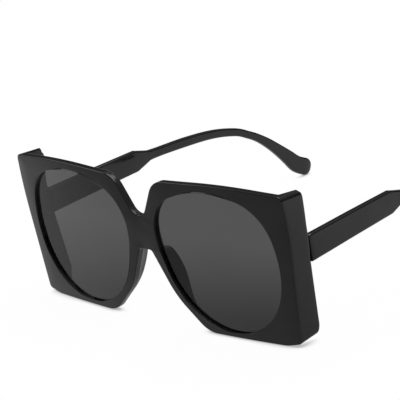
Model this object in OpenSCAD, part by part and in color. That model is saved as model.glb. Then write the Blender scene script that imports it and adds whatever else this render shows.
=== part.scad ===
// Oversized sunglasses: a one-piece moulded front with deep side panels, two lenses in grooves,
// and two folding temples on five-barrel screw hinges.
// X runs across the face, Y from the front back to the temple tips, Z up.

/* [Front] */
// Width of the front, to the corners of its outline
frame_w = 152; // [144:1:160]
// Height of the front at the top of its arch
front_h = 59.6; // [57:0.1:63]
// Thickness of the moulded front
front_t = 3.5; // [3.4:0.1:4.4]
// How far the middle of the front stands ahead of its outer corners
front_bow = 4.9; // [3:0.1:6]
// Lean of the front in degrees, its top ahead of its foot
front_tilt = 1.2; // [0:0.1:2]
// Radius of the rounded outer edges
edge_r = 1; // [0.5:0.1:1.2]
// Radius of the rounded back edges
back_edge_r = 0.8; // [0.4:0.1:1]
// Radius of the small edges at the lens openings
inner_edge_r = 0.3; // [0.2:0.05:0.4]
// Fall of the brow from its arch to the outer top corner
brow_drop = 1.4; // [0.5:0.1:3]
// How far the outer bottom corner is drawn in from the widest point
foot_in = 3.9; // [1:0.1:5]

/* [Bridge] */
// Height of the bottom of the V notch
notch_z = 43.6; // [41:0.1:46]
// Half angle of the V notch
notch_angle = 30; // [22:0.5:34]
// Radius at the bottom of the V notch
notch_r = 5; // [3:0.1:7]
// Height of the underside of the bridge
bridge_z = 29.9; // [28:0.1:32]
// Width of the arch under the bridge
bridge_w = 6.8; // [5:0.1:9]
// Width between the lobes at the bottom
nose_w = 53.2; // [46:0.1:54]
// Radius of the lobes' inner bottom corners
nose_foot_r = 12; // [8:0.5:14]

/* [Side panels] */
// Depth of the side panels, from the front's outer corner to their back edge
panel_depth = 10.2; // [9:0.1:14]
// Depth of the side panels at their foot
panel_foot_depth = 11.4; // [8:0.1:13]
// Wall of the side panels
panel_wall = 2.8; // [2.6:0.1:3.4]
// How far the side panels draw in towards their back edge
panel_inset = 0.3; // [0.2:0.1:1.6]
// How far the foot of a side panel rises towards the back
panel_lift = 0.8; // [0.5:0.1:3]
// How far the top of a side panel falls towards the back
panel_fall = 0.8; // [0:0.1:1.5]

/* [Lenses] */
// Width of the front beside a lens opening, outside it
outer_rim_w = 6; // [5:0.1:9]
// Distance of a lens opening from the middle of the front
inner_rim_w = 8; // [7:0.1:10]
// Height of the front over a lens opening
top_rim_h = 3.6; // [3:0.1:6]
// Height of the front under a lens opening
bottom_rim_h = 2.3; // [2:0.1:4]
// Thickness of a lens
lens_t = 0.9; // [0.7:0.05:1]
// Depth of the lens behind the front surface
lens_recess = 2; // [1.6:0.1:2.1]
// Depth of the groove that holds the lens
groove_d = 0.9; // [0.6:0.1:1]
// Gap between the lens and its groove
lens_fit = 0.1; // [0.05:0.01:0.12]

/* [Nose pads] */
// Height of the nose pads above the back of the front
pad_rise = 5; // [2:0.1:6]
// How far the crest of a nose pad stands further out than its root
pad_splay = 2; // [0:0.1:2.5]
// Radius of the crest of the nose pads
pad_r = 1.7; // [1.2:0.1:1.8]

/* [Temples] */
// Reach of a temple from the hinge to the middle of its tip
temple_reach = 134.3; // [120:0.1:145]
// Height of a temple where it meets the side panel
temple_h = 10.2; // [10:0.1:12]
// Thickness of a temple at the hinge
temple_t = 2.9; // [2.8:0.1:3.4]
// Height of the slim part of a temple
shaft_h = 4; // [3:0.1:5]
// Thickness of the slim part of a temple
shaft_t = 2.6; // [2.2:0.1:2.9]
// Radius of the rounded tip
tip_r = 3.8; // [3:0.1:4.5]
// Radius of the rounded edges of a temple
temple_edge_r = 0.8; // [0.4:0.1:1]
// How far a temple draws in over its reach
temple_inset = 5.1; // [0:0.1:6]
// Gap between a side panel and its temple when open
butt_gap = 0.3; // [0.25:0.05:0.5]

/* [Hinges] */
// Height of the hinge's middle above the floor
hinge_z = 35.2; // [34:0.1:37]
// Height of the hinge
hinge_h = 7.6; // [7:0.1:8.2]
// Radius of the hinge barrels
barrel_r = 1.6; // [1.5:0.05:1.7]
// Gap between neighbouring barrels
barrel_gap = 0.08; // [0.06:0.01:0.12]
// Thickness of the hinge leaves
leaf_t = 0.8; // [0.6:0.1:0.9]
// Length of the temple's leaf from the hinge axis
temple_leaf_l = 9.6; // [8:0.1:12]
// Radius of the pivot screw
pivot_r = 0.7; // [0.6:0.05:0.75]
// Gap round the pivot screw
pivot_fit = 0.04; // [0.02:0.01:0.06]
// Radius of the pivot screw's head
pivot_head_r = 1.15; // [1:0.05:1.2]
// Height of the pivot screw's head
pivot_head_h = 0.6; // [0.5:0.05:0.7]
// Radius of the small screws that hold the leaves
leaf_screw_r = 0.5; // [0.4:0.05:0.55]
// Length of the small screws that hold the leaves
leaf_screw_l = 2; // [1.6:0.1:2]
// Radius of the small screws' heads
leaf_head_r = 0.85; // [0.75:0.05:0.95]
// Clearance of the screws and leaves in their seats
seat_fit = 0.05; // [0.03:0.01:0.08]

/* [Hidden] */

black = [0.07, 0.07, 0.075];
smoke = [0.2, 0.2, 0.21, 0.75];
steel = [0.16, 0.16, 0.17];

// Round shapes
round_fn = 48;
bow_fn = 256;
pad_fn = 12;
// Overrun of the cuts
over = 1;

// Curved front surface: an upright cylinder through the outer corners
half_w = frame_w / 2;
bow_r = (half_w ^ 2 + front_bow ^ 2) / (2 * front_bow);
function front_y(x) = bow_r - front_bow - sqrt(bow_r ^ 2 - x ^ 2);

// Longest straight step along the outline
step = front_h / 18;
// Points of a rounded corner
arc_n = 6;

function unit(v) = v / norm(v);
function mix(a, b, t) = a + (b - a) * t;

// Arc of radius r at corner q between the neighbouring corners p and s
function fillet(p, q, s, r, n) =
    let (u = unit(p - q), v = unit(s - q), h = acos(u * v) / 2,
        o = q + unit(u + v) * r / sin(h),
        a = q + u * r / tan(h) - o, b = q + v * r / tan(h) - o,
        turn = cross(a, b) < 0 ? -1 : 1, sweep = turn * (180 - 2 * h))
    [for (k = [0:n]) let (w = sweep * k / n)
        o + [a[0] * cos(w) - a[1] * sin(w), a[0] * sin(w) + a[1] * cos(w)]];

function spot(c) = [c[0], c[1]];

// Points added so that no straight stretch of an open path is longer than the step
function subdivide(path, longest) = [
    for (i = [0:len(path) - 2])
        let (a = path[i], b = path[i + 1], n = max(1, ceil(norm(b - a) / longest)))
        for (k = [0:n - 1]) mix(a, b, k / n),
    path[len(path) - 1]];

// Corners of one lobe, from the V notch round the outside to the arch of the bridge: x, z, radius
notch_apex_z = notch_z + notch_r - notch_r / sin(notch_angle);
brow_z = front_h - brow_drop * 0.75;
notch_mouth_x = (brow_z - notch_apex_z) * tan(notch_angle);
corner_z = front_h - brow_drop;
widest_z = corner_z * 0.76;
lobe_corners = [
    [notch_mouth_x, brow_z, notch_r * 1.9],
    [half_w * 0.6, front_h + brow_drop / 4, front_h * 5],
    [half_w - brow_drop / 2, corner_z, edge_r * 2.2],
    [half_w, widest_z, front_h * 2.5],
    [half_w - foot_in, edge_r * 1.4, edge_r * 1.8],
    [half_w * 0.86, 0, front_h / 3],
    [nose_w / 2, 0, nose_foot_r],
    [nose_w * 0.235, bridge_z * 0.42, nose_w * 0.6],
    [bridge_w / 2, bridge_z, bridge_w * 0.3]];

notch_start = [0, notch_apex_z];
arch_end = [0, bridge_z];
lobe_path = concat([notch_start], [for (c = lobe_corners) spot(c)], [arch_end]);

// Half of the notch's own arc, from the middle plane outwards
notch_arc = [for (k = [0:3]) let (w = (90 - notch_angle) * k / 3)
    [notch_r * sin(w), notch_z + notch_r - notch_r * cos(w)]];

lobe_edge = subdivide(concat(notch_arc,
    [for (i = [0:len(lobe_corners) - 1])
        each fillet(lobe_path[i], lobe_path[i + 1], lobe_path[i + 2], lobe_corners[i][2], arc_n)],
    [arch_end]), step);

// Line on the middle plane where the two lobes meet
seam_n = 3;
seam = [for (k = [0:seam_n]) [0, mix(bridge_z + edge_r, notch_z - edge_r, k / seam_n)]];
stations = concat(lobe_edge, seam);
station_n = len(stations);
edge_n = len(lobe_edge);

// Direction into the lobe, square to its edge; zero on the middle plane
function inward(i) =
    i >= edge_n ? [0, 0] :
    i == 0 ? [0, -1] :
    i == edge_n - 1 ? [0, 1] :
    let (u = unit(stations[i] - stations[i - 1]), v = unit(stations[i + 1] - stations[i]),
        w = unit(u + v))
    [w[1], -w[0]];

// Corners of a lens opening as shares of its width, its height and, for the radius, its height
rim_shares = [
    [0.003, 0.927, 0.315], [0.919, 1.03, 0.4], [0.998, 0.5, 0.71],
    [0.874, 0, 0.5], [0.168, -0.005, 0.58], [0, 0.572, 0.54]];
lens_w = half_w - inner_rim_w - outer_rim_w;
lens_h = front_h - bottom_rim_h - top_rim_h;
rim_corners = [for (s = rim_shares)
    [inner_rim_w + lens_w * s[0], bottom_rim_h + lens_h * s[1], lens_h * s[2]]];
rim_n = len(rim_corners);
rim = [for (i = [0:rim_n - 1])
    each fillet(spot(rim_corners[(i + rim_n - 1) % rim_n]), spot(rim_corners[i]),
        spot(rim_corners[(i + 1) % rim_n]), rim_corners[i][2], 12)];
lens_c = [inner_rim_w + lens_w / 2, bottom_rim_h + lens_h / 2];

// Distance from the middle of the lens opening to its rim in direction d
function rim_reach(d) = max([for (i = [0:len(rim) - 1])
    let (a = rim[i] - lens_c, b = rim[(i + 1) % len(rim)] - lens_c, ca = cross(d, a), cb = cross(d, b))
    (ca > 0) != (cb > 0) && a * d > 0 ? mix(a, b, ca / (ca - cb)) * d : 0]);

// Outer face of the side panel at height z, where it leaves the front
function panel_x(z) = lookup(z, [
    [0, half_w - foot_in], [widest_z, half_w], [front_h, half_w - brow_drop / 2]]);
// Back edge of the side panel at height z
function panel_y(z) = lookup(z, [
    [edge_r, panel_foot_depth - edge_r], [edge_r * 4, panel_foot_depth],
    [hinge_z - temple_h / 2, panel_depth], [hinge_z + temple_h, panel_depth],
    [corner_z - edge_r * 2.4, panel_depth + edge_r * 0.6],
    [corner_z - edge_r * 0.8, panel_depth + edge_r * 0.2], [corner_z, panel_depth - edge_r]]);

// A point at depth y of the side panel, drawn in towards the back, where the panel grows lower
function drawn(p, y) =
    let (t = max(0, (y - front_t) / (panel_depth - front_t)), high = 2 * p[1] / front_h - 1)
    [p[0] - panel_inset * t, y, p[1] - t * high * (high > 0 ? panel_fall : panel_lift)];
// A point that follows the curved and leaning front surface at depth y behind it
function faced(p, y) = [p[0], front_y(p[0]) + y - (p[1] - hinge_z) * tan(front_tilt), p[1]];
function backed(p, y, flange) = flange ? drawn(p, y) : faced(p, y);

groove_front = lens_recess - lens_fit;
groove_back = lens_recess + lens_t + lens_fit;

// Section of the lobe at a station: from the lens opening over the front, round the edge and back
function section(i) =
    let (p = stations[i], n = inward(i), d = unit(p - lens_c),
        a = lens_c + d * rim_reach(d), a2 = a + d * inner_edge_r, g = a + d * groove_d,
        width = p[0] - panel_x(p[1]) + panel_wall, flange = width > inner_edge_r,
        y = flange ? panel_y(p[1]) : front_t, e = flange ? min(back_edge_r, width / 3) : back_edge_r,
        m = flange ? -d : n,
        q = flange ? p - d * width / abs(d[0]) : mix(p, a, 0.4))
    [
        faced(a, inner_edge_r), faced(mix(a, a2, 0.3), inner_edge_r * 0.3), faced(a2, 0),
        faced(p + n * edge_r, 0), faced(p + n * edge_r * 0.3, edge_r * 0.3), faced(p, edge_r),
        backed(p, y - e, flange), backed(p + m * e * 0.3, y - e * 0.3, flange),
        backed(p + m * e, y, flange), backed(q, y, flange),
        faced(flange ? q : mix(p, a, 0.5), front_t), faced(a2, front_t), faced(a, front_t - inner_edge_r),
        faced(a, groove_back), faced(g, groove_back), faced(g, groove_front), faced(a, groove_front)];

// Closed skin through a loop of rings, or through a row of rings with flat ends
module skin(rings, closed) {
    n = len(rings);
    m = len(rings[0]);
    points = [for (r = rings) each r];
    quads = [for (i = [0:closed ? n - 1 : n - 2]) for (j = [0:m - 1])
        let (a = i * m + j, b = i * m + (j + 1) % m,
            c = ((i + 1) % n) * m + (j + 1) % m, d = ((i + 1) % n) * m + j)
        each [[a, b, c], [a, c, d]]];
    ends = closed ? [] : [[for (j = [m - 1:-1:0]) j], [for (j = [0:m - 1]) (n - 1) * m + j]];
    sound = [for (t = quads)
        if (norm(cross(points[t[1]] - points[t[0]], points[t[2]] - points[t[0]])) > 0) t];
    polyhedron(points = points, faces = concat(sound, ends));
}

module lobe() {
    skin([for (i = [0:station_n - 1]) section(i)], true);
}

// Inner edge of the lobe beside the nose at height z
function nose_x(z) = lookup(z, [
    [0, nose_w / 2], [bridge_z * 0.42, nose_w * 0.235], [bridge_z, bridge_w / 2]]);

// Nose pad: a ridge that rises behind the inner edge of a lobe and dies out at both ends
pad_n = 5;
pad_top_angle = 58;
pad_foot_angle = 178;
function pad_spot(k) =
    let (z = mix(bridge_z * 0.96, bridge_z * 0.22, k / pad_n)) [nose_x(z) + pad_r, z];
function pad_top(k) = pad_rise * sin(mix(pad_top_angle, pad_foot_angle, k / pad_n));

module pad_ball(k, rise) {
    p = pad_spot(k) + [pad_splay * rise / pad_rise, 0];
    translate(faced(p, front_t - pad_r + rise)) sphere(r = pad_r * 0.9, $fn = pad_fn);
}

module nose_pad() {
    difference() {
        for (k = [0:pad_n - 1])
            hull() {
                pad_ball(k, 0);
                pad_ball(k + 1, 0);
                pad_ball(k, pad_top(k));
                pad_ball(k + 1, pad_top(k + 1));
            }
        lens_sheet(lens_fit * 2);
    }
}

// Hinge: its axis, and the planes of its leaves
temple_y = panel_depth + butt_gap;
axis_y = panel_depth + butt_gap / 2;
temple_x = panel_x(hinge_z) - panel_inset;
leaf_x = temple_x - temple_t + leaf_t + seat_fit * 4;
axis_x = leaf_x - barrel_r;
front_leaf_l = panel_depth - front_t - seat_fit * 6;
barrel_n = 5;
barrel_h = (hinge_h - barrel_gap * (barrel_n - 1)) / barrel_n;
room_gap = seat_fit * 3;
room_r = barrel_r + room_gap;
leaf_screw_z = hinge_h * 0.3;
front_screw_y = -mix(barrel_r, front_leaf_l, 0.5);
temple_screw_y = mix(barrel_r, temple_leaf_l, 0.5);

// Room for the barrels of both leaves, all the way round the axis
module barrel_room() {
    translate([axis_x, axis_y, hinge_z - hinge_h / 2 - room_gap])
        cylinder(r = room_r, h = hinge_h + room_gap * 2, $fn = round_fn);
}

// Pocket of a leaf, in the side panel for dir = -1 and in the temple for dir = 1
module leaf_pocket(dir, leaf_l) {
    y0 = dir > 0 ? axis_y : axis_y - leaf_l - seat_fit;
    translate([axis_x - over, y0, hinge_z - hinge_h / 2 - seat_fit])
        cube([leaf_x + seat_fit - axis_x + over, leaf_l + seat_fit, hinge_h + seat_fit * 2]);
}

module leaf_screw_places(screw_y) {
    for (s = [-1, 1])
        translate([leaf_x - leaf_t, axis_y + screw_y, hinge_z + s * leaf_screw_z])
            rotate([0, 90, 0]) children();
}

module pilot_hole() {
    cylinder(r = leaf_screw_r + seat_fit, h = leaf_screw_l + seat_fit, $fn = round_fn / 3);
}

module front_frame() {
    color(black) seat() union() {
        for (side = [0, 1]) mirror([side, 0, 0]) {
            difference() {
                lobe();
                barrel_room();
                leaf_pocket(-1, front_leaf_l);
                leaf_screw_places(front_screw_y) pilot_hole();
            }
            nose_pad();
        }
    }
}

// Lens: the opening's outline, extended into the groove, cut from a curved and leaning sheet;
// grown all round it is the room that the nose pads leave for it
lens_n = 72;
function lens_outline(grow) = [for (k = [0:lens_n - 1])
    let (w = 360 * k / lens_n, d = [cos(w), sin(w)])
    lens_c + d * (rim_reach(d) + groove_d - lens_fit + grow)];

module lens_sheet(grow) {
    intersection() {
        translate([0, front_t + over, 0]) rotate([90, 0, 0])
            linear_extrude(height = front_t + front_bow + over * 2) polygon(lens_outline(grow));
        translate([0, -front_bow, hinge_z]) rotate([front_tilt, 0, 0])
            translate([0, bow_r, -front_h]) difference() {
                cylinder(r = bow_r - lens_recess + grow, h = front_h * 2, $fn = bow_fn);
                translate([0, 0, -over]) cylinder(r = bow_r - lens_recess - lens_t - grow,
                    h = front_h * 2 + over * 2, $fn = bow_fn);
            }
    }
}

module lens() {
    lens_sheet(0);
}

// One leaf with its barrels: even places on the side panel, odd places on the temple
module hinge_leaf(dir, leaf_l, screw_y, first) {
    neck_l = room_r + seat_fit;
    difference() {
        union() {
            translate([leaf_x - leaf_t, axis_y + (dir > 0 ? room_r : -leaf_l), hinge_z - hinge_h / 2])
                cube([leaf_t, leaf_l - room_r, hinge_h]);
            for (k = [first:2:barrel_n - 1])
                translate([axis_x, axis_y, hinge_z - hinge_h / 2 + k * (barrel_h + barrel_gap)]) {
                    cylinder(r = barrel_r, h = barrel_h, $fn = round_fn);
                    translate([barrel_r - leaf_t, dir > 0 ? 0 : -neck_l, 0])
                        cube([leaf_t, neck_l, barrel_h]);
                }
        }
        translate([axis_x, axis_y, hinge_z - hinge_h / 2 - over])
            cylinder(r = pivot_r + pivot_fit, h = hinge_h + over * 2, $fn = round_fn);
        translate([axis_x, axis_y, hinge_z + hinge_h / 2 - pivot_head_h - pivot_fit])
            cylinder(r = pivot_head_r + pivot_fit, h = over, $fn = round_fn);
        leaf_screw_places(screw_y) {
            translate([0, 0, -over])
                cylinder(r = leaf_screw_r + seat_fit, h = leaf_t + over * 2, $fn = round_fn);
            translate([0, 0, -seat_fit]) cylinder(r1 = leaf_head_r + seat_fit * 2,
                r2 = leaf_screw_r + seat_fit, h = leaf_t * 0.6, $fn = round_fn);
        }
    }
}

module pivot_screw() {
    slot_w = pivot_head_r * 0.3;
    translate([axis_x, axis_y, hinge_z - hinge_h / 2]) difference() {
        union() {
            cylinder(r = pivot_r, h = hinge_h - pivot_head_h / 2, $fn = round_fn);
            translate([0, 0, hinge_h - pivot_head_h])
                cylinder(r = pivot_head_r, h = pivot_head_h, $fn = round_fn);
        }
        translate([-pivot_head_r * 2, -slot_w / 2, hinge_h - pivot_head_h / 2])
            cube([pivot_head_r * 4, slot_w, over]);
    }
}

module leaf_screws(screw_y) {
    slot_w = leaf_head_r * 0.3;
    leaf_screw_places(screw_y) difference() {
        union() {
            cylinder(r = leaf_screw_r, h = leaf_screw_l, $fn = round_fn);
            cylinder(r1 = leaf_head_r, r2 = leaf_screw_r, h = leaf_t * 0.5, $fn = round_fn);
        }
        translate([-leaf_head_r * 2, -slot_w / 2, -over])
            cube([leaf_head_r * 4, slot_w, over + leaf_t * 0.25]);
    }
}

// Temple: its middle line as shares of the reach and of the hinge's height
temple_shares = [
    [0, 1], [0.18, 1.022], [0.334, 1.037], [0.388, 1.041], [0.534, 1.018], [0.65, 0.972],
    [0.74, 0.885], [0.79, 0.79], [0.828, 0.7], [0.867, 0.58], [0.904, 0.444], [0.938, 0.308],
    [0.968, 0.182], [1, 0]];
// Half heights at the same places
temple_halves = [
    temple_h * 0.5, temple_h * 0.47, temple_h * 0.44, shaft_h * 0.54, shaft_h * 0.5, shaft_h * 0.46,
    shaft_h * 0.43, shaft_h * 0.42, shaft_h * 0.44, shaft_h * 0.52, tip_r * 0.66, tip_r * 0.82,
    tip_r * 0.96, tip_r];
row_n = len(temple_shares);
straight_rows = 3;
bend_n = 4;
cap_n = 5;
cap_angle = 84;

function row_point(i) =
    let (k = min(max(i, 0), row_n - 1), s = temple_shares[k])
    [s[0] * temple_reach, k == row_n - 1 ? tip_r : s[1] * hinge_z, temple_halves[k]];
// Smooth curve through the rows
function between(i, t) =
    let (p = row_point(i - 1), a = row_point(i), b = row_point(i + 1), q = row_point(i + 2))
    (2 * a + (b - p) * t + (2 * p - 5 * a + 4 * b - q) * t ^ 2 + (3 * a - p - 3 * b + q) * t ^ 3) / 2;

temple_line = [
    for (i = [0:straight_rows - 1]) row_point(i),
    for (i = [straight_rows:row_n - 2]) for (k = [0:bend_n - 1]) between(i, k / bend_n),
    row_point(row_n - 1)];
line_n = len(temple_line);
function line_dir(i) =
    let (a = temple_line[max(i - 1, 0)], b = temple_line[min(i + 1, line_n - 1)])
    i < straight_rows + 1 ? [1, 0] : unit([b[0] - a[0], b[1] - a[1]]);
tip_dir = unit(spot(temple_line[line_n - 1]) - spot(temple_line[line_n - 3]));

// Rounded rectangle, w thick and 2 h high, square to direction d at c on the middle line
corner_n = 3;
function temple_ring(c, d, h, w, y) =
    let (r = min(temple_edge_r, h * 0.8, w * 0.45),
        x0 = temple_x - temple_inset * c[0] / temple_reach - w / 2)
    [for (s = [[1, 1], [-1, 1], [-1, -1], [1, -1]]) for (k = [0:corner_n - 1])
        let (q = 90 * k / (corner_n - 1),
            t = s[0] * s[1] > 0 ? q : 90 - q,
            u = s[0] * (w / 2 - r + r * cos(t)), v = s[1] * (h - r + r * sin(t)))
        [x0 + u, y + c[0] - v * d[1], c[1] + v * d[0]]];

function temple_w(c) =
    mix(temple_t, shaft_t, min(1, c[0] / temple_reach / temple_shares[straight_rows][0]));

module temple_body() {
    skin(concat(
        [for (i = [0:line_n - 1]) let (c = temple_line[i])
            temple_ring(c, line_dir(i), c[2], temple_w(c), temple_y)],
        [for (k = [1:cap_n]) let (w = cap_angle * k / cap_n, e = temple_line[line_n - 1],
            c = spot(e) + tip_dir * tip_r * sin(w))
            temple_ring(c, tip_dir, tip_r * cos(w), mix(shaft_t, shaft_t * 0.6, 1 - cos(w)), temple_y)]),
        false);
}

module temple() {
    difference() {
        temple_body();
        barrel_room();
        leaf_pocket(1, temple_leaf_l);
        leaf_screw_places(temple_screw_y) pilot_hole();
    }
}

// The object's own frame: its origin on the floor, midway from the front to the tips
object_l = temple_y + temple_reach + tip_r;
front_reach = front_bow + (brow_z - edge_r - hinge_z) * tan(front_tilt);
module seat() {
    translate([0, -(object_l - front_reach) / 2, 0]) children();
}

module right_side() {
    mirror([1, 0, 0]) children();
}

module left_lens() {
    color(smoke) seat() lens();
}

module right_lens() {
    color(smoke) seat() right_side() lens();
}

module left_front_hinge() {
    color(steel) seat() hinge_leaf(-1, front_leaf_l, front_screw_y, 0);
}

module right_front_hinge() {
    color(steel) seat() right_side() hinge_leaf(-1, front_leaf_l, front_screw_y, 0);
}

module front_leaf_screws() {
    color(steel) seat() {
        leaf_screws(front_screw_y);
        right_side() leaf_screws(front_screw_y);
    }
}

module left_pivot_screw() {
    color(steel) seat() pivot_screw();
}

module right_pivot_screw() {
    color(steel) seat() right_side() pivot_screw();
}

module left_temple() {
    color(black) seat() temple();
}

module right_temple() {
    color(black) seat() right_side() temple();
}

module left_temple_hinge() {
    color(steel) seat() hinge_leaf(1, temple_leaf_l, temple_screw_y, 1);
}

module right_temple_hinge() {
    color(steel) seat() right_side() hinge_leaf(1, temple_leaf_l, temple_screw_y, 1);
}

module left_temple_leaf_screws() {
    color(steel) seat() leaf_screws(temple_screw_y);
}

module right_temple_leaf_screws() {
    color(steel) seat() right_side() leaf_screws(temple_screw_y);
}

front_frame();
left_lens();
right_lens();
left_front_hinge();
right_front_hinge();
front_leaf_screws();
left_pivot_screw();
right_pivot_screw();
left_temple();
right_temple();
left_temple_hinge();
right_temple_hinge();
left_temple_leaf_screws();
right_temple_leaf_screws();
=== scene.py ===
"""Oversized sunglasses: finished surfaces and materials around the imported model.

The front, the nose pads, the lenses and the temples are made here in finer mesh, by the rules of
the solids that they replace, with sharper polished edges, a softly rounded face and the lenses a
little nearer to it. Their sizes are in millimetres, in the model's own working frame, and place()
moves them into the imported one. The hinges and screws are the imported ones, with bevelled edges.
"""
import math

import bmesh
import bpy
import numpy as np
from mathutils import Matrix


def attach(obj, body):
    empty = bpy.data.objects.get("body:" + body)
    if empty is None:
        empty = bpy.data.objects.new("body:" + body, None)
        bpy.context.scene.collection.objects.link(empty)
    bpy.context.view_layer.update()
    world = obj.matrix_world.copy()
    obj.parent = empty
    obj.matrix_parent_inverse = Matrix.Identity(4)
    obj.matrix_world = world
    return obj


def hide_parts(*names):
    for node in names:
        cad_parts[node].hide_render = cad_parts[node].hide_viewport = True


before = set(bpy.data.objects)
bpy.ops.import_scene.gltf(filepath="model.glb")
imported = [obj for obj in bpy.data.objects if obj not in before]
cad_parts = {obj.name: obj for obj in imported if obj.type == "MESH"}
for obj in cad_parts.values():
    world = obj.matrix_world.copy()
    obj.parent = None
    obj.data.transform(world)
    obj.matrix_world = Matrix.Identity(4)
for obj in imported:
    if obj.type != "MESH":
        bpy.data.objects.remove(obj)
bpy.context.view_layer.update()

MM = 0.001

# Front
HALF_W = 76.0
FRONT_H = 59.6
FRONT_T = 3.5
FRONT_BOW = 4.9
FRONT_TILT = math.tan(math.radians(1.2))
EDGE_R = 1.0
POLISHED_EDGE_R = 0.45
PILLOW_W = 8.0
PILLOW_DROP = 0.35
BACK_EDGE_R = 0.8
INNER_EDGE_R = 0.2
REAR_LIP_BACK = 0.5
REAR_STEP = 0.2
BROW_DROP = 1.4
FOOT_IN = 3.9
# Bridge
NOTCH_Z = 43.6
NOTCH_ANGLE = 30.0
NOTCH_R = 5.0
BRIDGE_Z = 29.9
BRIDGE_W = 6.8
NOSE_W = 53.2
NOSE_FOOT_R = 12.0
# Side panels
PANEL_DEPTH = 10.2
PANEL_FOOT_DEPTH = 11.4
PANEL_WALL = 2.8
PANEL_INSET = 0.3
PANEL_LIFT = 0.8
PANEL_FALL = 0.8
# Lenses
OUTER_RIM_W = 6.0
INNER_RIM_W = 8.0
TOP_RIM_H = 3.6
BOTTOM_RIM_H = 2.3
LENS_T = 0.9
LENS_RECESS = 1.2
GROOVE_D = 0.9
LENS_FIT = 0.1
# Nose pads
PAD_RISE = 5.0
PAD_SPLAY = 2.0
PAD_HALF_W = 1.53
PAD_CREST_DROP = 1.7
PAD_ROOT = 1.2
PAD_EDGE_GAP = 0.05
PAD_TOP_STRETCH = 2.0
PAD_TOP_Z = BRIDGE_Z * 0.91
PAD_FOOT_Z = BRIDGE_Z * 0.22
PAD_TOP_ANGLE = 66
PAD_FOOT_ANGLE = 178
PAD_END_SHARE = 0.02
# Temples
TEMPLE_REACH = 134.3
TEMPLE_H = 10.2
TEMPLE_T = 2.9
SHAFT_H = 4.0
SHAFT_T = 2.6
TIP_R = 3.8
TIP_END_T = SHAFT_T * 0.6
TIP_END_ANGLE = 86
TEMPLE_EDGE_R = 0.8
EDGE_SHARE_H = 0.8
EDGE_SHARE_T = 0.45
TEMPLE_INSET = 5.1
BUTT_EDGE_R = 0.25
BUTT_GAP = 0.3
# Hinges
HINGE_Z = 35.2
HINGE_H = 7.6
BARREL_R = 1.6
LEAF_T = 0.8
TEMPLE_LEAF_L = 9.6
SEAT_FIT = 0.05
POCKET_IN = 1.0

BOW_R = (HALF_W ** 2 + FRONT_BOW ** 2) / (2 * FRONT_BOW)
TEMPLE_Y = PANEL_DEPTH + BUTT_GAP
OBJECT_L = TEMPLE_Y + TEMPLE_REACH + TIP_R

# Steps of the meshes
STEP = 1.1
ARC_N = 18
NOTCH_N = 10
SEAM_N = 10
RIM_ARC_N = 40
FLAT_N = 3
SOFT_N = 8
EDGE_N = 6
BACK_EDGE_N = 5
INNER_EDGE_N = 4
REAR_N = 3
SAME_POINT = 1e-4
ON_MIDDLE = 1e-6
WELD_M = 2e-6
SLIVER_M = 1e-7

# Camera

VIEW_TURN = math.radians(50.4)
VIEW_RISE = math.radians(17.92)
VIEW_ROLL = math.radians(10.5)
VIEW_OFFSET = np.array([-12.22, -44.92, -873.7])
PHOTO_W = 400
FOCAL_PX = 2294.82
SENSOR_MM = 36


def make_camera():
    """The camera at the photograph's viewing angle and distance."""
    back = np.array([math.sin(VIEW_TURN) * math.cos(VIEW_RISE),
                     -math.cos(VIEW_TURN) * math.cos(VIEW_RISE), math.sin(VIEW_RISE)])
    right = np.array([math.cos(VIEW_TURN), math.sin(VIEW_TURN), 0])
    c, s = math.cos(VIEW_ROLL), math.sin(VIEW_ROLL)
    turn = np.array([[c, -s, 0], [s, c, 0], [0, 0, 1]]) @ np.array(
        [right, np.cross(back, right), back])
    spot = (-turn.T @ VIEW_OFFSET + np.array([0, SHIFT_Y, 0])) * MM
    data = bpy.data.cameras.new("camera")
    data.sensor_width = SENSOR_MM
    data.lens = FOCAL_PX / PHOTO_W * SENSOR_MM
    camera = link("camera", data)
    rows = [[*turn.T[i], spot[i]] for i in range(3)]
    camera.matrix_world = Matrix([*rows, [0, 0, 0, 1]])
    bpy.context.scene.camera = camera


# Rules of the outlines


def unit(v):
    return v / np.linalg.norm(v)


def mix(a, b, t):
    return a + (b - a) * t


def cross2(a, b):
    return a[0] * b[1] - a[1] * b[0]


def lookup(z, rows):
    """The value at z between the rows of height and value."""
    return float(np.interp(z, [r[0] for r in rows], [r[1] for r in rows]))


def front_y(x):
    """Depth of the bowed front face at x."""
    return BOW_R - FRONT_BOW - math.sqrt(BOW_R ** 2 - x ** 2)


def fillet(p, q, s, r, n):
    """Arc of radius r at corner q between the neighbouring corners p and s."""
    u, v = unit(p - q), unit(s - q)
    half = math.acos(float(np.clip(u @ v, -1, 1))) / 2
    centre = q + unit(u + v) * r / math.sin(half)
    a, b = q + u * r / math.tan(half) - centre, q + v * r / math.tan(half) - centre
    sweep = (-1 if cross2(a, b) < 0 else 1) * (math.pi - 2 * half)
    out = []
    for k in range(n + 1):
        w = sweep * k / n
        out.append(centre + np.array([a[0] * math.cos(w) - a[1] * math.sin(w),
                                      a[0] * math.sin(w) + a[1] * math.cos(w)]))
    return out


def subdivide(path, longest):
    """The path with its long sides divided."""
    out = []
    for a, b in zip(path[:-1], path[1:]):
        n = max(1, math.ceil(np.linalg.norm(b - a) / longest))
        out += [mix(a, b, k / n) for k in range(n)]
    return out + [path[-1]]


NOTCH_APEX_Z = NOTCH_Z + NOTCH_R - NOTCH_R / math.sin(math.radians(NOTCH_ANGLE))
BROW_Z = FRONT_H - BROW_DROP * 0.75
NOTCH_MOUTH_X = (BROW_Z - NOTCH_APEX_Z) * math.tan(math.radians(NOTCH_ANGLE))
CORNER_Z = FRONT_H - BROW_DROP
WIDEST_Z = CORNER_Z * 0.76
FRONT_REACH = FRONT_BOW + (BROW_Z - EDGE_R - HINGE_Z) * FRONT_TILT
SHIFT_Y = -(OBJECT_L - FRONT_REACH) / 2
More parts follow.
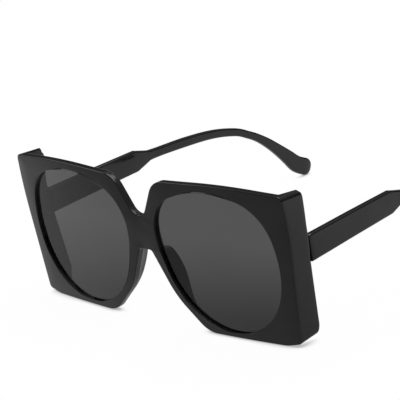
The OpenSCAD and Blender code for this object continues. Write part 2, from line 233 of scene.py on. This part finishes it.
# Corners of a lobe as x, z and the radius of their rounding
LOBE_CORNERS = [
    (NOTCH_MOUTH_X, BROW_Z, NOTCH_R * 1.9),
    (HALF_W * 0.6, FRONT_H + BROW_DROP / 4, FRONT_H * 5),
    (HALF_W - BROW_DROP / 2, CORNER_Z, EDGE_R * 2.2),
    (HALF_W, WIDEST_Z, FRONT_H * 2.5),
    (HALF_W - FOOT_IN, EDGE_R * 1.4, EDGE_R * 1.8),
    (HALF_W * 0.86, 0, FRONT_H / 3),
    (NOSE_W / 2, 0, NOSE_FOOT_R),
    (NOSE_W * 0.235, BRIDGE_Z * 0.42, NOSE_W * 0.6),
    (BRIDGE_W / 2, BRIDGE_Z, BRIDGE_W * 0.3)]


def make_stations():
    """Points round a lobe, from the V notch over the outside to the bridge, then up the middle."""
    path = [np.array(p[:2], float) for p in
            [(0, NOTCH_APEX_Z), *LOBE_CORNERS, (0, BRIDGE_Z)]]
    edge = []
    for k in range(NOTCH_N + 1):
        w = math.radians((90 - NOTCH_ANGLE) * k / NOTCH_N)
        edge.append(np.array([NOTCH_R * math.sin(w), NOTCH_Z + NOTCH_R - NOTCH_R * math.cos(w)]))
    for i, corner in enumerate(LOBE_CORNERS):
        edge += fillet(path[i], path[i + 1], path[i + 2], corner[2], ARC_N)
    edge = subdivide([*edge, path[-1]], STEP)
    keep = [edge[0]]
    for p in edge[1:]:
        if np.linalg.norm(p - keep[-1]) > SAME_POINT:
            keep.append(p)
    seam = [np.array([0, mix(BRIDGE_Z + EDGE_R, NOTCH_Z - EDGE_R, k / SEAM_N)])
            for k in range(SEAM_N + 1)]
    return keep, seam


LENS_W = HALF_W - INNER_RIM_W - OUTER_RIM_W
LENS_H = FRONT_H - BOTTOM_RIM_H - TOP_RIM_H
LENS_C = np.array([INNER_RIM_W + LENS_W / 2, BOTTOM_RIM_H + LENS_H / 2])
# Corners of a lens opening as shares of its width and height, and of its height for the rounding
RIM_SHARES = [
    (0.008, 0.871, 0.314), (0.423, 1.035, 0.912), (0.926, 0.941, 0.362), (0.996, 0.5, 0.67),
    (0.875, -0.003, 0.5), (0.162, -0.008, 0.59), (0, 0.57, 0.535)]


def make_rim():
    """Outline of the left lens opening."""
    spots = [np.array([INNER_RIM_W + LENS_W * s[0], BOTTOM_RIM_H + LENS_H * s[1]])
             for s in RIM_SHARES]
    out = []
    for i, share in enumerate(RIM_SHARES):
        after = spots[(i + 1) % len(spots)]
        out += fillet(spots[i - 1], spots[i], after, LENS_H * share[2], RIM_ARC_N)
    return np.array(out)


RIM = make_rim() - LENS_C
RIM_NEXT = np.roll(RIM, -1, axis=0)


def rim_reach(d):
    """Distance from the middle of a lens opening to its rim in direction d."""
    ca = d[0] * RIM[:, 1] - d[1] * RIM[:, 0]
    cb = d[0] * RIM_NEXT[:, 1] - d[1] * RIM_NEXT[:, 0]
    hit = ((ca > 0) != (cb > 0)) & (RIM @ d > 0)
    t = ca[hit] / (ca[hit] - cb[hit])
    return float(((RIM[hit] + (RIM_NEXT[hit] - RIM[hit]) * t[:, None]) @ d).max())


def panel_x(z):
    """Outer side of the side panel at height z."""
    return lookup(z, [(0, HALF_W - FOOT_IN), (WIDEST_Z, HALF_W), (FRONT_H, HALF_W - BROW_DROP / 2)])


def panel_y(z):
    """Rear edge of the side panel at height z."""
    return lookup(z, [
        (EDGE_R, PANEL_FOOT_DEPTH - EDGE_R), (EDGE_R * 4, PANEL_FOOT_DEPTH),
        (HINGE_Z - TEMPLE_H / 2, PANEL_DEPTH), (HINGE_Z + TEMPLE_H, PANEL_DEPTH),
        (CORNER_Z - EDGE_R * 2.4, PANEL_DEPTH + EDGE_R * 0.6),
        (CORNER_Z - EDGE_R * 0.8, PANEL_DEPTH + EDGE_R * 0.5),
        (CORNER_Z, PANEL_DEPTH - EDGE_R * 0.3)])


def drawn(p, y):
    """A point at depth y of the side panel, drawn in and lifted towards the back."""
    t = max(0, (y - FRONT_T) / (PANEL_DEPTH - FRONT_T))
    high = 2 * p[1] / FRONT_H - 1
    return [p[0] - PANEL_INSET * t, y, p[1] - t * high * (PANEL_FALL if high > 0 else PANEL_LIFT)]


def faced(p, y):
    """A point at depth y behind the bowed and tilted front face."""
    return [p[0], front_y(p[0]) + y - (p[1] - HINGE_Z) * FRONT_TILT, p[1]]


def backed(p, y, on_panel):
    """A point of the back edge, on the side panel or on the plain front."""
    return drawn(p, y) if on_panel else faced(p, y)


def between(a, b, n):
    """n points that divide the way from a to b, without its ends."""
    a, b = np.array(a), np.array(b)
    return [list(mix(a, b, k / (n + 1))) for k in range(1, n + 1)]


def quarter(n):
    """Sine and cosine at n + 1 even steps of a quarter turn."""
    return [(math.sin(math.pi / 2 * k / n), math.cos(math.pi / 2 * k / n)) for k in range(n + 1)]


def pillow(far):
    """How far the polished face falls back at a distance from its outer edge."""
    return PILLOW_DROP * max(0, 1 - far / PILLOW_W) ** 2


def face_steps(reach):
    """Shares of the way over the face: wide steps on its flat part, short ones where it falls."""
    soft = min(1, PILLOW_W / reach)
    if soft == 1:
        return [k / (FLAT_N + SOFT_N) for k in range(1, FLAT_N + SOFT_N)]
    flat = [mix(0, 1 - soft, k / FLAT_N) for k in range(1, FLAT_N + 1)]
    return flat + [mix(1 - soft, 1, k / SOFT_N) for k in range(1, SOFT_N)]


GROOVE_FRONT = LENS_RECESS - LENS_FIT
GROOVE_BACK = LENS_RECESS + LENS_T + LENS_FIT


def section(p, n, inside=0):
    """Ring of the lobe at station p, with n inwards from the outer edge.

    It goes from the lens opening over the face, round the edge and back over the rear. A station
    on the middle plane of the bridge has a zero n, and inside is its distance from the edge of the
    face.
    """
    away = unit(p - LENS_C)
    rim = LENS_C + away * rim_reach(away)
    face_start = rim + away * INNER_EDGE_R
    groove = rim + away * GROOVE_D
    rear_rim = rim + away * REAR_LIP_BACK
    wall = p[0] - panel_x(p[1]) + PANEL_WALL
    on_panel = wall > INNER_EDGE_R
    if on_panel:
        depth = panel_y(p[1])
        back_r = min(BACK_EDGE_R, wall / 3)
        inwards = -away
        inner = p - away * wall / abs(away[0])
        rear = faced(inner, FRONT_T)
    else:
        depth = FRONT_T
        back_r = BACK_EDGE_R
        inwards = n
        inner = p + n * (back_r + REAR_STEP)
        rear = faced(p + n * (back_r + REAR_STEP * 2), FRONT_T)
    lip = p + n * POLISHED_EDGE_R
    reach = np.linalg.norm(lip - face_start)
    drop = pillow(inside)
    corner = backed(inner, depth, on_panel)
    ring = [faced(rim + away * INNER_EDGE_R * (1 - c), INNER_EDGE_R * (1 - s))
            for s, c in quarter(INNER_EDGE_N)]
    ring += [faced(mix(face_start, lip, t), pillow(math.hypot(inside, reach * (1 - t))))
             for t in face_steps(reach)]
    ring += [faced(p + n * POLISHED_EDGE_R * (1 - s), drop + POLISHED_EDGE_R * (1 - c))
             for s, c in quarter(EDGE_N)]
    ring += between(faced(p, drop + POLISHED_EDGE_R), backed(p, depth - back_r, on_panel), EDGE_N)
    ring += [backed(p + inwards * back_r * (1 - c), depth - back_r * (1 - s), on_panel)
             for s, c in quarter(BACK_EDGE_N)]
    ring += [corner, *between(corner, rear, REAR_N), rear]
    ring += between(rear, faced(rear_rim + away * INNER_EDGE_R, FRONT_T), REAR_N)
    ring += [faced(rear_rim + away * INNER_EDGE_R * s, FRONT_T - INNER_EDGE_R * (1 - c))
             for s, c in quarter(REAR_N)[::-1]]
    ring += [faced(rear_rim, GROOVE_BACK), faced(groove, GROOVE_BACK)]
    ring += [faced(groove, GROOVE_FRONT), faced(rim, GROOVE_FRONT)]
    return ring


# Mesh helpers


def link(name, data):
    """A new object that shows the data."""
    ob = bpy.data.objects.new(name, data)
    bpy.context.scene.collection.objects.link(ob)
    return ob


def place(points, side=1):
    """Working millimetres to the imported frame's metres; side -1 mirrors to the right."""
    out = np.array(points, float)
    out[:, 1] += SHIFT_Y
    out[:, 0] *= side
    return out * MM


def build(name, points, faces, side=1):
    """A closed mesh piece with its normals outwards."""
    mesh = bpy.data.meshes.new(name)
    mesh.from_pydata([tuple(p) for p in place(points, side)], [], faces)
    bm = bmesh.new()
    bm.from_mesh(mesh)
    bmesh.ops.remove_doubles(bm, verts=bm.verts, dist=WELD_M)
    bmesh.ops.dissolve_degenerate(bm, edges=bm.edges, dist=SLIVER_M)
    bmesh.ops.recalc_face_normals(bm, faces=bm.faces)
    bm.to_mesh(mesh)
    bm.free()
    return link(name, mesh)


def ring_faces(n, m, closed):
    """Faces through n rings of m points, with a cap at each end unless the rings are closed."""
    faces = []
    for i in range(n if closed else n - 1):
        for j in range(m):
            a, b = i * m + j, i * m + (j + 1) % m
            c, d = ((i + 1) % n) * m + (j + 1) % m, ((i + 1) % n) * m + j
            faces.append((a, b, c, d))
    if not closed:
        faces += [tuple(range(m - 1, -1, -1)), tuple(range((n - 1) * m, n * m))]
    return faces


def cut(ob, cutters):
    """Takes the cutters' space out of the piece."""
    for c in cutters:
        mod = ob.modifiers.new("cut", "BOOLEAN")
        mod.operation = "DIFFERENCE"
        mod.solver = "EXACT"
        mod.object = c
    depsgraph = bpy.context.evaluated_depsgraph_get()
    mesh = bpy.data.meshes.new_from_object(ob.evaluated_get(depsgraph))
    ob.modifiers.clear()
    ob.data = mesh
    for c in cutters:
        bpy.data.objects.remove(c)


def box_cutter(low, high, side):
    corners = [(x, y, z) for x in (low[0], high[0]) for y in (low[1], high[1])
               for z in (low[2], high[2])]
    faces = [(0, 1, 3, 2), (4, 6, 7, 5), (0, 4, 5, 1), (2, 3, 7, 6), (0, 2, 6, 4), (1, 5, 7, 3)]
    return build("cutter", corners, faces, side)


def round_cutter(x, y, r, z0, z1, side):
    around = 64
    turns = [2 * math.pi * k / around for k in range(around)]
    points = [(x + r * math.cos(w), y + r * math.sin(w), z) for z in (z0, z1) for w in turns]
    return build("cutter", points, ring_faces(2, around, False), side)


def smooth(ob, angle=32):
    """Smooth shading that keeps the edges sharper than the angle."""
    for f in ob.data.polygons:
        f.use_smooth = True
    with bpy.context.temp_override(object=ob, active_object=ob, selected_objects=[ob],
                                   selected_editable_objects=[ob]):
        bpy.ops.object.shade_smooth_by_angle(angle=math.radians(angle))


# Pieces

TEMPLE_X = panel_x(HINGE_Z) - PANEL_INSET
LEAF_X = TEMPLE_X - TEMPLE_T + LEAF_T + SEAT_FIT * 4
AXIS_X = LEAF_X - BARREL_R
AXIS_Y = PANEL_DEPTH + BUTT_GAP / 2
ROOM_GAP = SEAT_FIT * 3
FRONT_LEAF_L = PANEL_DEPTH - FRONT_T - SEAT_FIT * 6


def hinge_cutters(direction, leaf_l, side):
    """Room for the barrels, and the pocket of a leaf that lies behind or before the axis."""
    y0 = AXIS_Y if direction > 0 else AXIS_Y - leaf_l - SEAT_FIT
    z0, z1 = HINGE_Z - HINGE_H / 2, HINGE_Z + HINGE_H / 2
    return [
        round_cutter(AXIS_X, AXIS_Y, BARREL_R + ROOM_GAP, z0 - ROOM_GAP, z1 + ROOM_GAP, side),
        box_cutter((AXIS_X - POCKET_IN, y0, z0 - SEAT_FIT),
                   (LEAF_X + SEAT_FIT, y0 + leaf_l + SEAT_FIT, z1 + SEAT_FIT), side)]


def make_front():
    """The moulded front: half of it by its sections, mirrored on the middle plane."""
    edge, seam = make_stations()
    rings = []
    for i, p in enumerate(edge):
        if i in (0, len(edge) - 1):
            n = np.array([0.0, -1.0 if i == 0 else 1.0])
        else:
            w = unit(unit(p - edge[i - 1]) + unit(edge[i + 1] - p))
            n = np.array([w[1], -w[0]])
        rings.append(section(p, n))
    for p in seam:
        inside = min(p[1] - BRIDGE_Z, NOTCH_Z - p[1]) - POLISHED_EDGE_R
        rings.append(section(p, np.zeros(2), inside))
    points = np.array([p for r in rings for p in r])
    faces = ring_faces(len(rings), len(rings[0]), True)
    faces = [f for f in faces if max(abs(points[v][0]) for v in f) > ON_MIDDLE]
    mirrored = points * np.array([-1, 1, 1])
    count = len(points)
    both = np.vstack([points, mirrored])
    faces += [tuple(count + v for v in reversed(f)) for f in faces]
    ob = build("front", both, faces)
    cut(ob, [c for side in (1, -1) for c in hinge_cutters(-1, FRONT_LEAF_L, side)])
    return ob


# Height and width of the lobe's outline along the nose, from the foot to just under the bridge
NOSE_LINE = sorted((p[1], p[0]) for p in make_stations()[0]
                   if p[0] < NOSE_W * 0.45 and p[1] < BRIDGE_Z - 0.2)


def nose_x(z):
    """The lobe's outline along the nose at height z."""
    return lookup(z, NOSE_LINE)


def make_nose_pad(word, side):
    """A smooth ridge behind the inner edge of a lobe, highest in its upper part."""
    steps, cap_n, round_n = 40, 4, 24
    slope_reach = 0.5
    root = FRONT_T - PAD_ROOT
    half = PAD_HALF_W
    rings = []
    for k in range(-cap_n, steps + cap_n + 1):
        t = min(max(k / steps, 0), 1)
        z = mix(PAD_TOP_Z, PAD_FOOT_Z, t)
        above = np.array([nose_x(z + slope_reach), z + slope_reach])
        below = np.array([nose_x(z - slope_reach), z - slope_reach])
        along = unit(below - above)
        across = np.array([along[1], -along[0]])
        cap = max(-k, k - steps, 0) / cap_n
        s, c = math.sin(cap * math.pi / 2), math.cos(cap * math.pi / 2)
        spot = np.array([nose_x(z), z]) - across * (half + PAD_EDGE_GAP)
        spot = spot + along * half * s * (-PAD_TOP_STRETCH if k < 0 else 1)
        wide = max(half * c, half * PAD_END_SHARE)
        rise = math.sin(math.radians(mix(PAD_TOP_ANGLE, PAD_FOOT_ANGLE, t)))
        crest = FRONT_T - PAD_CREST_DROP + PAD_RISE * rise
        top = mix(root, crest, c ** 0.5 if cap < 1 else 0)
        lean = np.array([PAD_SPLAY * rise, 0]) * (top - root) / (PAD_RISE * rise)
        base = faced(spot, 0)[1]
        ring = []
        for j in range(round_n + 1):
            w = math.pi * j / round_n
            q = spot + lean + across * wide * math.cos(w)
            ring.append([q[0], base + top + wide * math.sin(w), q[1]])
        for end in (-1, 1):
            q = spot + across * wide * end
            ring.append([q[0], base + root, q[1]])
        rings.append(ring)
    points = [p for r in rings for p in r]
    return build(word + "_nose_pad", points, ring_faces(len(rings), len(rings[0]), False), side)


def make_lens(word, side):
    """A thin curved sheet whose rim sits in the front's groove."""
    turns, rings = 160, 10
    middle_share = 1e-4
    reach = []
    for k in range(turns):
        w = 2 * math.pi * k / turns
        d = np.array([math.cos(w), math.sin(w)])
        reach.append(d * (rim_reach(d) + GROOVE_D - LENS_FIT))
    points = []
    for r in (BOW_R - LENS_RECESS, BOW_R - LENS_RECESS - LENS_T):
        for i in range(rings + 1):
            share = max(i / rings, middle_share)
            for e in reach:
                x, z = LENS_C + e * share
                points.append((x, BOW_R - FRONT_BOW - math.sqrt(r * r - x * x)
                               - (z - HINGE_Z) * FRONT_TILT, z))
    faces = []
    layer = (rings + 1) * turns
    for start in (0, layer):
        for i in range(rings):
            for k in range(turns):
                a, b = start + i * turns + k, start + i * turns + (k + 1) % turns
                faces.append((a, b, b + turns, a + turns))
    for k in range(turns):
        a, b = rings * turns + k, rings * turns + (k + 1) % turns
        faces.append((a, b, b + layer, a + layer))
    return build(word + "_lens_sheet", points, faces, side)


# Middle line of a temple as shares of its reach and of the hinge's height, and its half heights
TEMPLE_SHARES = [
    (0, 1), (0.18, 1.022), (0.334, 1.037), (0.388, 1.041), (0.534, 1.018), (0.65, 0.972),
    (0.74, 0.885), (0.79, 0.79), (0.828, 0.7), (0.867, 0.58), (0.904, 0.444), (0.938, 0.308),
    (0.968, 0.182), (1, 0)]
TEMPLE_HALVES = [
    TEMPLE_H * 0.5, TEMPLE_H * 0.47, TEMPLE_H * 0.44, SHAFT_H * 0.54, SHAFT_H * 0.5, SHAFT_H * 0.46,
    SHAFT_H * 0.43, SHAFT_H * 0.42, SHAFT_H * 0.44, SHAFT_H * 0.52, TIP_R * 0.66, TIP_R * 0.82,
    TIP_R * 0.96, TIP_R]
STRAIGHT_ROWS = 3
LAST_ROW = len(TEMPLE_SHARES) - 1


def row_point(i):
    """Distance along, height and half height at a row; the last one ends at the tip's middle."""
    k = min(max(i, 0), LAST_ROW)
    along, high = TEMPLE_SHARES[k]
    return np.array([along * TEMPLE_REACH, TIP_R if i >= LAST_ROW else high * HINGE_Z,
                     TEMPLE_HALVES[k]])


def spline(i, t):
    """Smooth curve through the rows."""
    p, a, b, q = (row_point(i + k) for k in (-1, 0, 1, 2))
    return (2 * a + (b - p) * t + (2 * p - 5 * a + 4 * b - q) * t ** 2
            + (3 * a - p - 3 * b + q) * t ** 3) / 2


def temple_ring(c, d, h, w):
    """Rounded rectangle, w thick and 2 h high, square to direction d at c on the middle line.

    Where the temple is thin, its corners take only a share of the height or thickness.
    """
    corner_n = 6
    r = min(TEMPLE_EDGE_R, h * EDGE_SHARE_H, w * EDGE_SHARE_T)
    x0 = TEMPLE_X - TEMPLE_INSET * c[0] / TEMPLE_REACH - w / 2
    ring = []
    for sx, sz in ((1, 1), (-1, 1), (-1, -1), (1, -1)):
        for k in range(corner_n + 1):
            a = 90 * k / corner_n
            t = math.radians(a if sx * sz > 0 else 90 - a)
            u = sx * (w / 2 - r + r * math.cos(t))
            v = sz * (h - r + r * math.sin(t))
            ring.append((x0 + u, TEMPLE_Y + c[0] - v * d[1], c[1] + v * d[0]))
    return ring


def make_temple(word, side):
    """A blade that narrows to a shaft, bends down and ends in a rounded tip."""
    bend_n, butt_n, cap_n, tip_n = 12, 3, 14, 4
    line = [mix(row_point(i), row_point(i + 1), k / bend_n)
            for i in range(STRAIGHT_ROWS) for k in range(bend_n)]
    straight = len(line)
    line += [spline(i, k / bend_n) for i in range(STRAIGHT_ROWS, LAST_ROW) for k in range(bend_n)]
    line.append(row_point(LAST_ROW))
    tip = unit(line[-1][:2] - line[-1 - tip_n][:2])

    def heading(i):
        if i < straight:
            return np.array([1.0, 0.0])
        return unit(line[min(i + 1, len(line) - 1)][:2] - line[max(i - 1, 0)][:2])

    def thickness(x):
        return mix(TEMPLE_T, SHAFT_T, min(1, x / TEMPLE_REACH / TEMPLE_SHARES[STRAIGHT_ROWS][0]))

    start = line[0]
    rings = []
    for s, c in quarter(butt_n)[:-1]:
        inset = BUTT_EDGE_R * (1 - s)
        ring = temple_ring((BUTT_EDGE_R * (1 - c), start[1]), (1, 0), start[2] - inset,
                           TEMPLE_T - 2 * inset)
        rings.append([(x - BUTT_EDGE_R * (1 - s), y, z) for x, y, z in ring])
    line[0] = mix(start, line[1], BUTT_EDGE_R / np.linalg.norm(line[1][:2] - start[:2]))
    rings += [temple_ring(c[:2], heading(i), c[2], thickness(c[0])) for i, c in enumerate(line)]
    for k in range(1, cap_n + 1):
        w = math.radians(TIP_END_ANGLE * k / cap_n)
        c = line[-1][:2] + tip * TIP_R * math.sin(w)
        rings.append(temple_ring(c, tip, TIP_R * math.cos(w),
                                 mix(SHAFT_T, TIP_END_T, 1 - math.cos(w))))
    points = [p for r in rings for p in r]
    ob = build(word + "_temple_body", points, ring_faces(len(rings), len(rings[0]), False), side)
    cut(ob, hinge_cutters(1, TEMPLE_LEAF_L, side))
    return ob


# Materials

ACETATE_DEEP = (0.007, 0.007, 0.007)
ACETATE_PALE = (0.011, 0.011, 0.011)
SMOKE_DEEP = (0.063, 0.063, 0.063)
SMOKE_PALE = (0.123, 0.123, 0.124)
SMOKE_CLOUD = 0.16
STEEL_DEEP = (0.012, 0.012, 0.013)
STEEL_PALE = (0.026, 0.026, 0.028)


def shader(name):
    mat = bpy.data.materials.new(name)
    mat.use_nodes = True
    nodes, links = mat.node_tree.nodes, mat.node_tree.links
    return mat, nodes, links, nodes["Principled BSDF"]


def noise(nodes, links, scale, detail=4.0, rough=0.5, stretch=(1, 1, 1)):
    """Noise in the piece's own space; scale is per metre."""
    coord = nodes.new("ShaderNodeTexCoord")
    mapping = nodes.new("ShaderNodeMapping")
    mapping.inputs["Scale"].default_value = stretch
    tex = nodes.new("ShaderNodeTexNoise")
    tex.inputs["Scale"].default_value = scale
    tex.inputs["Detail"].default_value = detail
    tex.inputs["Roughness"].default_value = rough
    links.new(coord.outputs["Object"], mapping.inputs["Vector"])
    links.new(mapping.outputs["Vector"], tex.inputs["Vector"])
    return tex.outputs["Fac"]


def ramp(nodes, links, source, low, high, at=(0.3, 0.7)):
    """Maps a 0 to 1 value to a colour or grey between low and high."""
    out = nodes.new("ShaderNodeValToRGB")
    for e, v, place_at in zip(out.color_ramp.elements, (low, high), at):
        e.position = place_at
        e.color = (*v, 1) if hasattr(v, "__len__") else (v, v, v, 1)
    links.new(source, out.inputs["Fac"])
    return out.outputs["Color"]


def bump(nodes, links, bsdf, height, strength, distance):
    node = nodes.new("ShaderNodeBump")
    node.inputs["Strength"].default_value = strength
    node.inputs["Distance"].default_value = distance
    links.new(height, node.inputs["Height"])
    links.new(node.outputs["Normal"], bsdf.inputs["Normal"])


def math_node(nodes, links, operation, *values):
    """A Math node; each value is a number or an output."""
    node = nodes.new("ShaderNodeMath")
    node.operation = operation
    for socket, value in zip(node.inputs, values):
        if isinstance(value, (int, float)):
            socket.default_value = value
        else:
            links.new(value, socket)
    return node.outputs[0]


def black_gloss():
    """Polished black acetate: faint cloudiness and a soft unevenness of the polish."""
    mat, nodes, links, bsdf = shader("black_gloss")
    cloud = noise(nodes, links, scale=90)
    links.new(ramp(nodes, links, cloud, ACETATE_DEEP, ACETATE_PALE), bsdf.inputs["Base Color"])
    polish = noise(nodes, links, scale=260, detail=6)
    gloss = ramp(nodes, links, polish, low=0.05, high=0.11)
    links.new(gloss, bsdf.inputs["Roughness"])
    waves = noise(nodes, links, scale=420, detail=2)
    bump(nodes, links, bsdf, waves, strength=0.1, distance=0.00003)
    return mat


def smoke_glass():
    """Smoke-tinted lens: see-through, the smoke a little deeper towards the foot as painted shade.
    """
    mat, nodes, links, bsdf = shader("smoke_glass")
    coord = nodes.new("ShaderNodeTexCoord")
    split = nodes.new("ShaderNodeSeparateXYZ")
    links.new(coord.outputs["Object"], split.inputs["Vector"])
    # Painted shade: the smoke deepens towards the foot in place of the shadowed floor seen through
    # the lens; the noise is its own uneven tone.
    height = nodes.new("ShaderNodeMapRange")
    height.inputs["From Max"].default_value = FRONT_H * MM
    links.new(split.outputs["Z"], height.inputs["Value"])
    cloud = noise(nodes, links, scale=30, detail=2)
    shade = math_node(nodes, links, "MULTIPLY_ADD", cloud, SMOKE_CLOUD, height.outputs["Result"])
    tint_and_painted_shade = ramp(nodes, links, shade, low=SMOKE_DEEP, high=SMOKE_PALE, at=(0.2, 0.72))
    links.new(tint_and_painted_shade, bsdf.inputs["Base Color"])
    wear = noise(nodes, links, scale=500, detail=3)
    gloss = ramp(nodes, links, wear, low=0.0, high=0.02)
    links.new(gloss, bsdf.inputs["Roughness"])
    bsdf.inputs["Transmission Weight"].default_value = 1
    bsdf.inputs["IOR"].default_value = 1.4
    return mat


def hinge_black():
    """Stamped and turned steel under a thin satin black coat, its tone and gloss a little uneven."""
    mat, nodes, links, bsdf = shader("hinge_black")
    grain = noise(nodes, links, scale=900, detail=5, rough=0.6, stretch=(1, 1, 9))
    links.new(ramp(nodes, links, grain, STEEL_DEEP, STEEL_PALE), bsdf.inputs["Base Color"])
    wear = noise(nodes, links, scale=700, detail=4)
    gloss = ramp(nodes, links, wear, low=0.28, high=0.45)
    links.new(gloss, bsdf.inputs["Roughness"])
    bsdf.inputs["Specular IOR Level"].default_value = 0.35
    bump(nodes, links, bsdf, grain, strength=0.2, distance=0.00002)
    return mat


def assign(ob, mat):
    ob.data.materials.clear()
    ob.data.materials.append(mat)


# Light and floor

WORLD_FILL = 0.55
WALL_LEVEL = 0.05
CEILING_LEVEL = 0.3
WALL_TOP = 0.36
CEILING_EDGE = 0.62
FLOOR_SIZE = 3.0
FLOOR_DROP = 0.0002
FLOOR_GREY = 0.86
FLOOR_GLOW = 0.97
CONTACT_REACH = 0.006
CONTACT_FROM, CONTACT_TO = 0.2, 0.75
CONTACT_SHADE = 0.45
# Reflected floor: the way along which it brightens, from where to where, and its two levels
GLOSS_WAY = (-0.4, 0.92, 0)
GLOSS_FROM, GLOSS_TO = -0.13, 0.01
GLOSS_DIM, GLOSS_BRIGHT = 0.28, 0.66


def fade(nodes, links, value, start, end, low, high):
    """Goes smoothly from low to high while the value goes from start to end."""
    node = nodes.new("ShaderNodeMapRange")
    node.interpolation_type = "SMOOTHSTEP"
    for name, number in (("From Min", start), ("From Max", end), ("To Min", low), ("To Max", high)):
        node.inputs[name].default_value = number
    links.new(value, node.inputs["Value"])
    return node.outputs["Result"]


def seen_directly(nodes, links):
    """1 for camera, glossy and transmission rays, else 0, and the glossy part alone."""
    path = nodes.new("ShaderNodeLightPath")
    total = path.outputs["Is Camera Ray"]
    for name in ("Is Glossy Ray", "Is Transmission Ray"):
        total = math_node(nodes, links, "MAXIMUM", total, path.outputs[name])
    return total, path.outputs["Is Glossy Ray"]


def make_world():
    """White to the eye; in reflections a bright ceiling over dim walls, as in a photo studio."""
    world = bpy.data.worlds.new("studio")
    bpy.context.scene.world = world
    world.use_nodes = True
    nodes, links = world.node_tree.nodes, world.node_tree.links
    back = nodes["Background"]
    back.inputs["Color"].default_value = (1, 1, 1, 1)
    coord = nodes.new("ShaderNodeTexCoord")
    split = nodes.new("ShaderNodeSeparateXYZ")
    links.new(coord.outputs["Generated"], split.inputs["Vector"])
    room = fade(nodes, links, split.outputs["Z"], WALL_TOP, CEILING_EDGE, WALL_LEVEL, CEILING_LEVEL)
    seen, glossy = seen_directly(nodes, links)
    plain = fade(nodes, links, seen, 0, 1, WORLD_FILL, 1.0)
    change = math_node(nodes, links, "SUBTRACT", room, plain)
    change = math_node(nodes, links, "MULTIPLY", glossy, change)
    links.new(math_node(nodes, links, "ADD", plain, change), back.inputs["Strength"])


def make_floor():
    """White floor: its own white for the eye, with a share of real diffuse that holds the shadow,
    and a painted shadow near the object in its glow.
    """
    mesh = bpy.data.meshes.new("floor")
    corners = [(FLOOR_SIZE * x, FLOOR_SIZE * y, 0) for x, y in ((-1, -1), (1, -1), (1, 1), (-1, 1))]
    mesh.from_pydata(corners, [], [(0, 1, 2, 3)])
    floor = link("floor", mesh)
    floor.location.z = -FLOOR_DROP
    mat = bpy.data.materials.new("floor_white")
    mat.use_nodes = True
    nodes, links = mat.node_tree.nodes, mat.node_tree.links
    nodes.clear()
    out = nodes.new("ShaderNodeOutputMaterial")
    diffuse = nodes.new("ShaderNodeBsdfDiffuse")
    diffuse.inputs["Color"].default_value = (FLOOR_GREY, FLOOR_GREY, FLOOR_GREY, 1)
    glow = nodes.new("ShaderNodeEmission")
    seen, glossy = seen_directly(nodes, links)
    # Painted shadow: the glow dims by ambient occlusion close to the object.
    near = nodes.new("ShaderNodeAmbientOcclusion")
    near.inputs["Distance"].default_value = CONTACT_REACH
    painted_contact_shadow = fade(nodes, links, near.outputs["AO"], CONTACT_FROM, CONTACT_TO, CONTACT_SHADE, 1.0)
    coord = nodes.new("ShaderNodeTexCoord")
    along = nodes.new("ShaderNodeVectorMath")
    along.operation = "DOT_PRODUCT"
    along.inputs[1].default_value = GLOSS_WAY
    links.new(coord.outputs["Object"], along.inputs[0])
    dim = fade(nodes, links, along.outputs["Value"], GLOSS_FROM, GLOSS_TO, GLOSS_DIM, GLOSS_BRIGHT)
    reflected = math_node(nodes, links, "MULTIPLY", glossy, dim)
    level = fade(nodes, links, glossy, 0, 1, 1, 0)
    level = math_node(nodes, links, "MAXIMUM", level, reflected)
    links.new(math_node(nodes, links, "MULTIPLY", level, painted_contact_shadow), glow.inputs["Strength"])
    both = nodes.new("ShaderNodeMixShader")
    links.new(math_node(nodes, links, "MULTIPLY", seen, FLOOR_GLOW), both.inputs["Fac"])
    links.new(diffuse.outputs["BSDF"], both.inputs[1])
    links.new(glow.outputs["Emission"], both.inputs[2])
    links.new(both.outputs["Shader"], out.inputs["Surface"])
    mesh.materials.append(mat)


def lamp(name, spot, target, size, power):
    """A rectangular lamp that looks from its spot to the target."""
    data = bpy.data.lights.new(name, "AREA")
    data.shape = "RECTANGLE"
    data.size, data.size_y = size
    data.energy = power
    ob = link(name, data)
    spot, target = np.array(spot), np.array(target)
    back = unit(spot - target)
    right = unit(np.cross((0, 0, 1), back))
    up = np.cross(back, right)
    rows = [[right[i], up[i], back[i], spot[i]] for i in range(3)]
    ob.matrix_world = Matrix([*rows, [0, 0, 0, 1]])


# Scene

bpy.context.scene.view_settings.view_transform = "Standard"
make_camera()
make_world()
make_floor()
lamp("top_light", spot=(0.0, 0.15, 0.9), target=(0, 0, 0.02), size=(0.9, 0.7), power=5)
lamp("side_light", spot=(-0.75, -0.35, 0.55), target=(0, -0.03, 0.03), size=(0.5, 0.5), power=1)

black, smoke, coated = black_gloss(), smoke_glass(), hinge_black()

front = make_front()
smooth(front)
assign(front, black)
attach(front, "front")
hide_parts("front_frame")
for word, side in (("left", 1), ("right", -1)):
    pad = make_nose_pad(word, side)
    smooth(pad, angle=50)
    assign(pad, black)
    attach(pad, "front")
    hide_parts("front_frame")
    lens = make_lens(word, side)
    smooth(lens, angle=40)
    assign(lens, smoke)
    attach(lens, "front")
    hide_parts(word + "_lens")
    temple = make_temple(word, side)
    smooth(temple)
    assign(temple, black)
    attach(temple, word + "_temple")
    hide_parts(word + "_temple")

HINGE_EDGE = 0.00006
for name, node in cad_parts.items():
    if "hinge" in name or "screw" in name:
        assign(node, coated)
        weld = node.modifiers.new("weld", "WELD")
        weld.merge_threshold = 1e-6
        bevel = node.modifiers.new("bevel", "BEVEL")
        bevel.width = HINGE_EDGE
        bevel.segments = 2
        bevel.limit_method = "ANGLE"
        bevel.angle_limit = math.radians(40)
